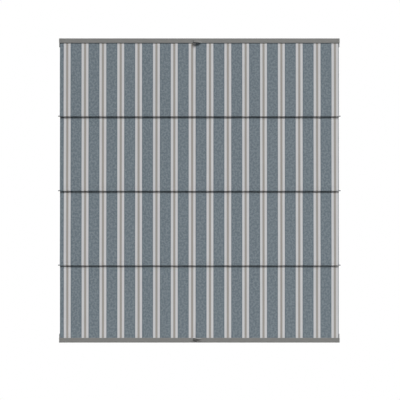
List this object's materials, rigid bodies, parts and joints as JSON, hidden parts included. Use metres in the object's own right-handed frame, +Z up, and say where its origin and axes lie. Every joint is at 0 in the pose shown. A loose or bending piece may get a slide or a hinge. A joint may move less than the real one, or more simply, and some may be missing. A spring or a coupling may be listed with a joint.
{
  "type": "roman blind",
  "caption": "Striped roman blind for a window sash: two sliding rails with grips on taut cords, with stiffened folds that gather between them.",
  "frame": {"origin": "middle of the lower edge of the window opening that the blind fills, halfway through the rails' depth", "axes": "+X to the viewer's right along the rails, -Y towards the room, +Z up"},
  "size_m": [1.215, 0.029, 1.3093],
  "materials": {
    "rail": "extruded, with a satin warm grey powder coat",
    "rail_plastic": "moulded, coloured to match the rails",
    "shoe": "moulded grey",
    "anchor": "moulded pale grey",
    "clear_plastic": "natural pale nylon",
    "cord": "braided polyester",
    "rod_cap": "moulded grey",
    "rod": "drawn glass fibre",
    "hem_strip": "extruded",
    "fabric": "heathered blue-grey plain weave",
    "stripes_white": "off-white yarn",
    "stripes_beige": "warm beige-grey yarn"
  },
  "bodies": {
    "window_fixings": {"shoe_top_left": "shoe", "shoe_top_right": "shoe", "shoe_bottom_left": "shoe", "shoe_bottom_right": "shoe", "cord_anchor_top_left": "anchor", "cord_anchor_top_right": "anchor", "cord_anchor_bottom_left": "anchor", "cord_anchor_bottom_right": "anchor", "cord_left": "cord", "cord_right": "cord", "fabric": "fabric", "stripes_white": "stripes_white", "stripes_beige": "stripes_beige", "rod_middle": "rod", "rod_cap_middle_left": "rod_cap", "rod_cap_middle_right": "rod_cap", "cord_ring_middle_left": "clear_plastic", "cord_ring_middle_right": "clear_plastic"},
    "top_rail": {"rail_top": "rail", "end_cap_top_left": "rail_plastic", "end_cap_top_right": "rail_plastic", "grip_top": "rail_plastic", "cord_guide_left_top": "clear_plastic", "cord_guide_right_top": "clear_plastic", "hem_strip_top": "hem_strip"},
    "bottom_rail": {"rail_bottom": "rail", "end_cap_bottom_left": "rail_plastic", "end_cap_bottom_right": "rail_plastic", "grip_bottom": "rail_plastic", "cord_guide_left_bottom": "clear_plastic", "cord_guide_right_bottom": "clear_plastic", "hem_strip_bottom": "hem_strip"},
    "upper_fold": {"rod_upper": "rod", "rod_cap_upper_left": "rod_cap", "rod_cap_upper_right": "rod_cap", "cord_ring_upper_left": "clear_plastic", "cord_ring_upper_right": "clear_plastic"},
    "lower_fold": {"rod_lower": "rod", "rod_cap_lower_left": "rod_cap", "rod_cap_lower_right": "rod_cap", "cord_ring_lower_left": "clear_plastic", "cord_ring_lower_right": "clear_plastic"}
  },
  "joints": [
    {"name": "top_rail_slide", "type": "slide", "parent": "window_fixings", "child": "top_rail", "axis": [0, 0, -1], "range_m": [0, 0.55], "deforming": ["fabric", "stripes_white", "stripes_beige", "cord_left", "cord_right"]},
    {"name": "bottom_rail_slide", "type": "slide", "parent": "window_fixings", "child": "bottom_rail", "axis": [0, 0, 1], "range_m": [0, 0.55], "deforming": ["fabric", "stripes_white", "stripes_beige", "cord_left", "cord_right"]},
    {"name": "upper_fold_slide", "type": "slide", "parent": "window_fixings", "child": "upper_fold", "axis": [0, 0, -1], "range_m": [0, 0.278]},
    {"name": "lower_fold_slide", "type": "slide", "parent": "window_fixings", "child": "lower_fold", "axis": [0, 0, 1], "range_m": [0, 0.2787]}
  ],
  "couplings": [
    {"joint": "upper_fold_slide", "follows": "top_rail_slide", "ratio": 0.5045},
    {"joint": "lower_fold_slide", "follows": "bottom_rail_slide", "ratio": 0.5058}
  ]
}
